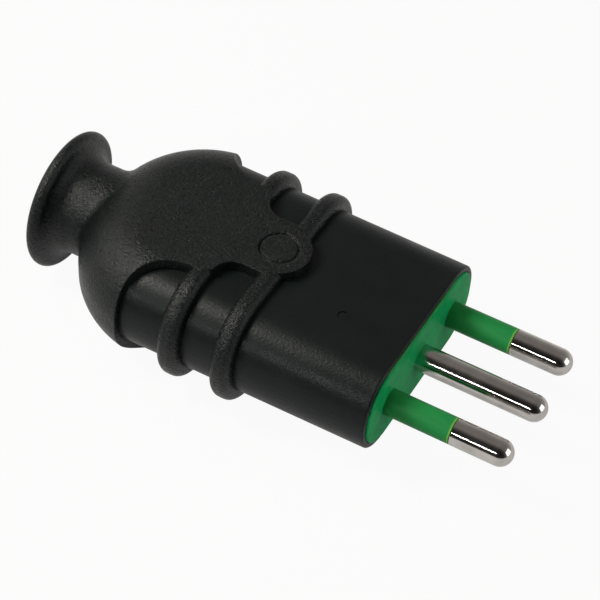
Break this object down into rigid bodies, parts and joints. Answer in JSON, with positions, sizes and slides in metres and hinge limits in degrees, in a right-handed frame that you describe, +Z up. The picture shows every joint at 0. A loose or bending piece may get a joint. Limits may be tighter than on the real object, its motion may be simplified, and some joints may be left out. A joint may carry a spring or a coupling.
{
  "type": "heavy-duty plug",
  "caption": "Round-pin mains plug in a black housing with a ribbed rubber boot, a flared cord bell, a green pin carrier and sleeved pins in line.",
  "frame": {"origin": "centre of the engagement face, on the earth pin's axis", "axes": "+X out along the pins, +Y across the row of pins, +Z up through the wide face of the boot that carries the plain circle"},
  "size_m": [0.0793, 0.0378, 0.0214],
  "materials": {
    "boot_rubber": "matte, finely grained",
    "housing_black": "satin",
    "carrier_green": "glossy",
    "sleeve_green": "glossy",
    "pin_nickel": "bright nickel plate on brass",
    "inner_black": "as moulded",
    "screw_steel": "zinc plated",
    "nut_brass": "plain"
  },
  "bodies": {
    "root": {"boot": "boot_rubber", "housing": "housing_black", "carrier": "carrier_green", "line_sleeve": "sleeve_green", "neutral_sleeve": "sleeve_green", "line_pin": "pin_nickel", "neutral_pin": "pin_nickel", "earth_pin": "pin_nickel", "pin_retainer": "inner_black", "cord_clamp": "inner_black", "line_terminal_screw": "screw_steel", "neutral_terminal_screw": "screw_steel", "earth_terminal_screw": "screw_steel", "retainer_screw_1": "screw_steel", "retainer_screw_2": "screw_steel", "clamp_screw_1": "screw_steel", "clamp_screw_2": "screw_steel", "fixing_screw": "screw_steel", "fixing_nut": "nut_brass"}
  },
  "joints": []
}
